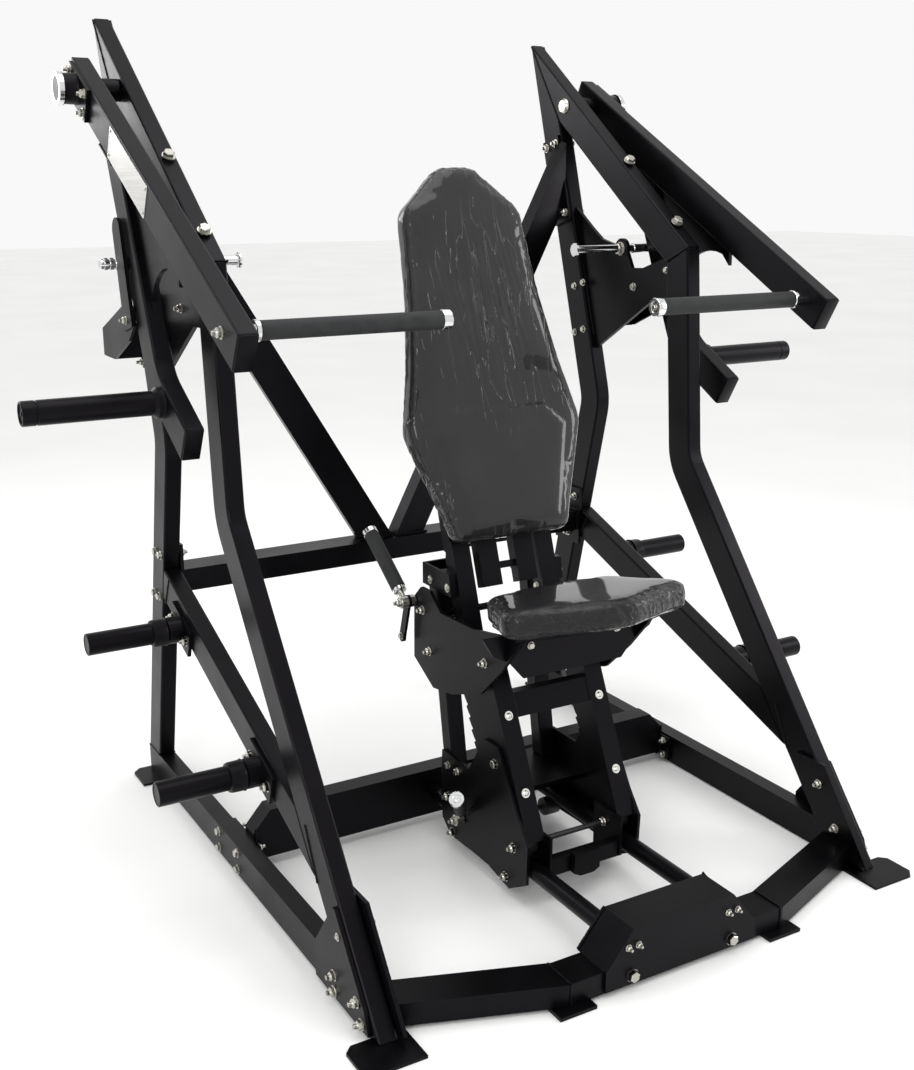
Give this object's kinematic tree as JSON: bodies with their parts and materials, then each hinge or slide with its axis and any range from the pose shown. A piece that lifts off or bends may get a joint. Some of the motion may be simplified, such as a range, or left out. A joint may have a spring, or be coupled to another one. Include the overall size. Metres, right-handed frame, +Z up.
{
  "type": "plate-loaded chest press machine",
  "caption": "Plate-loaded chest press: tubular side frames, pivoting press arms with handles and weight horns, and a padded seat carriage sliding on rails.",
  "frame": {"origin": "on the floor, under the middle of the machine's box", "axes": "+X to the machine's left as the user sits facing -Y, so the picture's right-hand side; -Y the front, where the rail box is; +Z up"},
  "size_m": [1.99, 1.4936, 1.8613],
  "materials": {
    "satin_black_powder_coat": "satin black powder coat",
    "chrome_plated_steel": "polished",
    "grey_rubber_grip": "matt",
    "dark_grey_vinyl": "glossy under clear film",
    "grey_nylon_roller": "matt"
  },
  "bodies": {
    "frame": {"left_base_beam": "satin_black_powder_coat", "left_front_leg": "satin_black_powder_coat", "left_top_beam": "satin_black_powder_coat", "left_rear_leg": "satin_black_powder_coat", "left_storage_beam": "satin_black_powder_coat", "left_stop_plate": "satin_black_powder_coat", "left_stop_bracket": "satin_black_powder_coat", "left_stop_peg": "chrome_plated_steel", "left_pivot_axle": "chrome_plated_steel", "left_storage_horn_rear": "satin_black_powder_coat", "left_storage_horn_front": "satin_black_powder_coat", "left_diagonal_brace": "satin_black_powder_coat", "left_rail": "satin_black_powder_coat", "right_base_beam": "satin_black_powder_coat", "right_front_leg": "satin_black_powder_coat", "right_top_beam": "satin_black_powder_coat", "right_rear_leg": "satin_black_powder_coat", "right_storage_beam": "satin_black_powder_coat", "right_stop_plate": "satin_black_powder_coat", "right_stop_bracket": "satin_black_powder_coat", "right_stop_peg": "chrome_plated_steel", "right_pivot_axle": "chrome_plated_steel", "right_storage_horn_rear": "satin_black_powder_coat", "right_storage_horn_front": "satin_black_powder_coat", "right_diagonal_brace": "satin_black_powder_coat", "right_rail": "satin_black_powder_coat", "rear_crossbeam": "satin_black_powder_coat", "mid_crossbeam": "satin_black_powder_coat", "front_crossbeam": "satin_black_powder_coat", "rail_box": "satin_black_powder_coat"},
    "left_arm": {"left_arm_tube": "satin_black_powder_coat", "left_horn_arm": "satin_black_powder_coat", "left_pivot_hub": "satin_black_powder_coat", "left_weight_horn": "satin_black_powder_coat", "left_press_handle": "grey_rubber_grip"},
    "right_arm": {"right_arm_tube": "satin_black_powder_coat", "right_horn_arm": "satin_black_powder_coat", "right_pivot_hub": "satin_black_powder_coat", "right_weight_horn": "satin_black_powder_coat", "right_press_handle": "grey_rubber_grip"},
    "carriage": {"left_carriage_side": "satin_black_powder_coat", "left_seat_post": "satin_black_powder_coat", "left_upright": "satin_black_powder_coat", "right_carriage_side": "satin_black_powder_coat", "right_seat_post": "satin_black_powder_coat", "right_upright": "satin_black_powder_coat", "post_crossbar": "satin_black_powder_coat", "carriage_bar": "satin_black_powder_coat", "carriage_floor": "satin_black_powder_coat", "back_pad": "dark_grey_vinyl", "pad_bracket": "satin_black_powder_coat"},
    "seat": {"seat_pad": "dark_grey_vinyl", "seat_carrier": "satin_black_powder_coat"},
    "seat_release_lever": {"seat_lever": "chrome_plated_steel"},
    "carriage_lock_lever": {"lock_lever": "chrome_plated_steel"},
    "front_upper_rollers": {"front_upper_rollers": "grey_nylon_roller"},
    "front_lower_rollers": {"front_lower_rollers": "grey_nylon_roller"},
    "rear_upper_rollers": {"rear_upper_rollers": "grey_nylon_roller"},
    "rear_lower_rollers": {"rear_lower_rollers": "grey_nylon_roller"}
  },
  "joints": [
    {"name": "left_arm_pivot", "type": "hinge", "parent": "frame", "child": "left_arm", "pos_m": [-0.692, 0.588, 1.694], "axis": [-1, 0, 0], "range_deg": [0, 42]},
    {"name": "right_arm_pivot", "type": "hinge", "parent": "frame", "child": "right_arm", "pos_m": [0.692, 0.588, 1.694], "axis": [-1, 0, 0], "range_deg": [0, 42]},
    {"name": "carriage_slide", "type": "slide", "parent": "frame", "child": "carriage", "axis": [0, 1, 0], "range_m": [-0.18, 0.06]},
    {"name": "seat_height", "type": "slide", "parent": "carriage", "child": "seat", "axis": [0, 0.4194, 0.9078], "range_m": [-0.1, 0.04]},
    {"name": "seat_release", "type": "hinge", "parent": "seat", "child": "seat_release_lever", "pos_m": [-0.19, 0.06, 0.572], "axis": [1, 0, 0], "range_deg": [0, 20], "stiffness_Nm_per_rad": 4, "springref_deg": -8.59},
    {"name": "carriage_lock", "type": "hinge", "parent": "carriage", "child": "carriage_lock_lever", "pos_m": [-0.16, -0.125, 0.1], "axis": [1, 0, 0], "range_deg": [-20, 20]},
    {"name": "front_upper_rollers_spin", "type": "hinge", "parent": "carriage", "child": "front_upper_rollers", "pos_m": [0, -0.339, 0.1267], "axis": [1, 0, 0], "range_deg": [-170, 480]},
    {"name": "front_lower_rollers_spin", "type": "hinge", "parent": "carriage", "child": "front_lower_rollers", "pos_m": [0, -0.309, 0.0441], "axis": [1, 0, 0], "range_deg": [-480, 170]},
    {"name": "rear_upper_rollers_spin", "type": "hinge", "parent": "carriage", "child": "rear_upper_rollers", "pos_m": [0, -0.06, 0.1267], "axis": [1, 0, 0], "range_deg": [-170, 480]},
    {"name": "rear_lower_rollers_spin", "type": "hinge", "parent": "carriage", "child": "rear_lower_rollers", "pos_m": [0, -0.079, 0.0441], "axis": [1, 0, 0], "range_deg": [-480, 170]}
  ],
  "couplings": [
    {"joint": "front_upper_rollers_spin", "follows": "carriage_slide", "rad_per_m": -45.455},
    {"joint": "front_lower_rollers_spin", "follows": "carriage_slide", "rad_per_m": 45.455},
    {"joint": "rear_upper_rollers_spin", "follows": "carriage_slide", "rad_per_m": -45.455},
    {"joint": "rear_lower_rollers_spin", "follows": "carriage_slide", "rad_per_m": 45.455}
  ]
}
